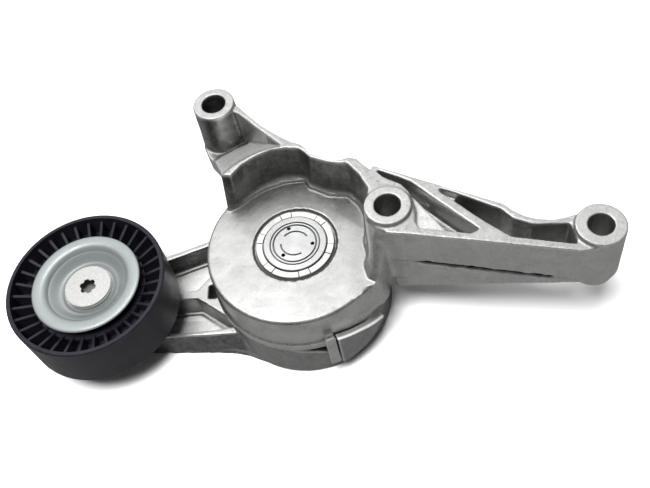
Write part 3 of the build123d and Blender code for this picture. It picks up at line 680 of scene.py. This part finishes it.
# ---------------------------------------------------------------- pressed shield over the bearing
# Outline of its front and rear side from the bolt's washer outwards, as (radius, height)
SHIELD_UPPER = (
    (4.3, 33.6), (10.3, 33.6), (10.8, 34.1), (11.5, 34.55), (12.4, 34.8), (13.4, 35.5), (14.6, 36.5),
    (15.5, 37.2), (15.9, 37.35), (16.3, 38.0), (16.9, 38.6), (17.6, 39.0), (18.6, 39.22), (20.0, 39.3),
    (21.3, 39.26), (21.9, 39.1), (22.25, 38.7),
)
SHIELD_LOWER = (
    (21.7, 38.45), (19.0, 38.45), (17.9, 38.2), (17.1, 37.7), (16.4, 36.9), (15.0, 35.7), (13.6, 34.6),
    (12.6, 34.0), (11.6, 33.75), (11.1, 33.3), (10.7, 32.8), (4.3, 32.8),
)
SEGMENTS = 144


def rounded(points, rounds):
    """Corner cutting of a closed outline."""
    for _ in range(rounds):
        following = points[1:] + points[:1]
        points = [
            tuple(a + (b - a) * t for a, b in zip(start, end))
            for start, end in zip(points, following)
            for t in (0.25, 0.75)
        ]
    return points


def turned_piece(node, name, body, centre, outline, material):
    """A closed ring turned from (radius, height) points, listed clockwise with the axis on the left."""
    count = len(outline)
    vertices = []
    for turn in range(SEGMENTS):
        angle = 2 * math.pi * turn / SEGMENTS
        for radius, height in outline:
            x = centre[0] + radius * math.cos(angle)
            y = centre[1] + radius * math.sin(angle)
            vertices.append((x * MM, y * MM, height * MM))
    faces = []
    for turn in range(SEGMENTS):
        here = turn * count
        there = (turn + 1) % SEGMENTS * count
        for i in range(count):
            j = (i + 1) % count
            faces.append((here + i, here + j, there + j, there + i))
    mesh = bpy.data.meshes.new(name)
    mesh.from_pydata(vertices, [], faces)
    mesh.polygons.foreach_set("use_smooth", [True] * len(faces))
    mesh.materials.append(material)
    piece = bpy.data.objects.new(name, mesh)
    scene.collection.objects.link(piece)
    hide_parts(node)
    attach(piece, body)


shield_outline = rounded(list(SHIELD_UPPER + SHIELD_LOWER), 2)
turned_piece(
    "front_shield", "shield_pressing", "tensioner_arm",
    PULLEY_CENTRE, shield_outline, shield_metal,
)

# ---------------------------------------------------------------- camera
# Fitted to the photograph's round outlines and the three boss tops
CAMERA_PLACE = (0.04767, -0.17550, 0.30630)
CAMERA_TILT = math.radians(33.207)
CAMERA_TURN = math.radians(7.741)
LENS = 45.63
camera_data = bpy.data.cameras.new("camera")
camera_data.sensor_width = 36.0
camera_data.lens = LENS
camera_data.clip_start = 0.01
camera_data.clip_end = 20.0
camera = bpy.data.objects.new("camera", camera_data)
scene.collection.objects.link(camera)
camera.location = CAMERA_PLACE
camera.rotation_euler = (CAMERA_TILT, CAMERA_TURN, 0.0)
scene.camera = camera

# ---------------------------------------------------------------- floor and light
# The paper is pale to the eye; what shines in the metal is an even grey card
FLOOR_CARD = 0.16
FLOOR_HALF = 1.6
floor_mesh = bpy.data.meshes.new("floor")
floor_corners = [(x * FLOOR_HALF, y * FLOOR_HALF, 0) for x, y in ((-1, -1), (1, -1), (1, 1), (-1, 1))]
floor_mesh.from_pydata(floor_corners, [], [(0, 1, 2, 3)])
floor = bpy.data.objects.new("floor", floor_mesh)
floor.location = (0, 0, -0.0002)
scene.collection.objects.link(floor)
floor_look = Material("floor_paper")
paper = floor_look.ramp(floor_look.noise(60.0), [(0.3, 0.93), (0.7, 0.95)])
in_gloss = floor_look.add("ShaderNodeLightPath").outputs["Is Glossy Ray"]
card = (FLOOR_CARD,) * 3
floor_look.link(floor_look.mix(in_gloss, paper, card), floor_look.shader.inputs["Base Color"])
floor_look.set(Roughness=0.9)
floor_mesh.materials.append(floor_look.material)

# The room is brightest behind and above the part and dim on the camera's side
SKY_TOWARDS = Vector((-0.11, 0.60, 0.79))
SKY_STOPS = ((0.0, 0.26), (0.42, 0.14), (0.66, 0.14), (0.80, 0.32), (0.90, 0.80), (1.0, 0.93))
SKY_DIFFUSE = 0.45
world = bpy.data.worlds.new("studio")
world.use_nodes = True
world_tree = world.node_tree
background = world_tree.nodes["Background"]
direction = world_tree.nodes.new("ShaderNodeTexCoord").outputs["Generated"]
facing = world_tree.nodes.new("ShaderNodeVectorMath")
facing.operation = "DOT_PRODUCT"
facing.inputs[1].default_value = SKY_TOWARDS
world_tree.links.new(direction, facing.inputs[0])
spread = world_tree.nodes.new("ShaderNodeMapRange")
spread.inputs["From Min"].default_value = -1.0
world_tree.links.new(facing.outputs["Value"], spread.inputs["Value"])
sky = world_tree.nodes.new("ShaderNodeValToRGB")
sky_elements = sky.color_ramp.elements
while len(sky_elements) < len(SKY_STOPS):
    sky_elements.new(0.5)
for sky_element, (position, grey) in zip(sky_elements, SKY_STOPS):
    sky_element.position = position
    sky_element.color = (grey, grey, grey, 1.0)
world_tree.links.new(spread.outputs["Result"], sky.inputs["Fac"])
world_rays = world_tree.nodes.new("ShaderNodeLightPath")
world_tree.links.new(sky.outputs["Color"], background.inputs["Color"])
backdrop = world_tree.nodes.new("ShaderNodeBackground")
backdrop.inputs["Color"].default_value = (0.97, 0.97, 0.97, 1.0)
seen = world_tree.nodes.new("ShaderNodeMixShader")
world_tree.links.new(world_rays.outputs["Is Camera Ray"], seen.inputs["Fac"])
world_tree.links.new(background.outputs["Background"], seen.inputs[1])
world_tree.links.new(backdrop.outputs["Background"], seen.inputs[2])
world_tree.links.new(seen.outputs["Shader"], world_tree.nodes["World Output"].inputs["Surface"])
world_level = world_tree.nodes.new("ShaderNodeMapRange")
world_level.inputs["To Min"].default_value = 1.0
world_level.inputs["To Max"].default_value = SKY_DIFFUSE
world_tree.links.new(world_rays.outputs["Is Diffuse Ray"], world_level.inputs["Value"])
world_tree.links.new(world_level.outputs["Result"], background.inputs["Strength"])
scene.world = world


LIT_PLACE = Vector((0.02, 0.0, 0.0))


def softbox(name, place, side, power):
    """A square lamp turned towards the part."""
    data = bpy.data.lights.new(name, "AREA")
    data.shape = "RECTANGLE"
    data.size, data.size_y = side, side
    data.energy = power
    light = bpy.data.objects.new(name, data)
    scene.collection.objects.link(light)
    light.location = place
    direction = LIT_PLACE - Vector(place)
    light.rotation_euler = direction.to_track_quat("-Z", "Y").to_euler()
    return light


# The key lights the part but isn't mirrored in it; a weaker lamp behind gives the gloss
softbox("key", (-0.075, -0.225, 0.920), 0.34, 16.0).visible_glossy = False
softbox("key_gloss", (-0.22, 0.24, 0.95), 0.32, 1.25)

scene.view_settings.view_transform = "Standard"
scene.view_settings.look = "None"
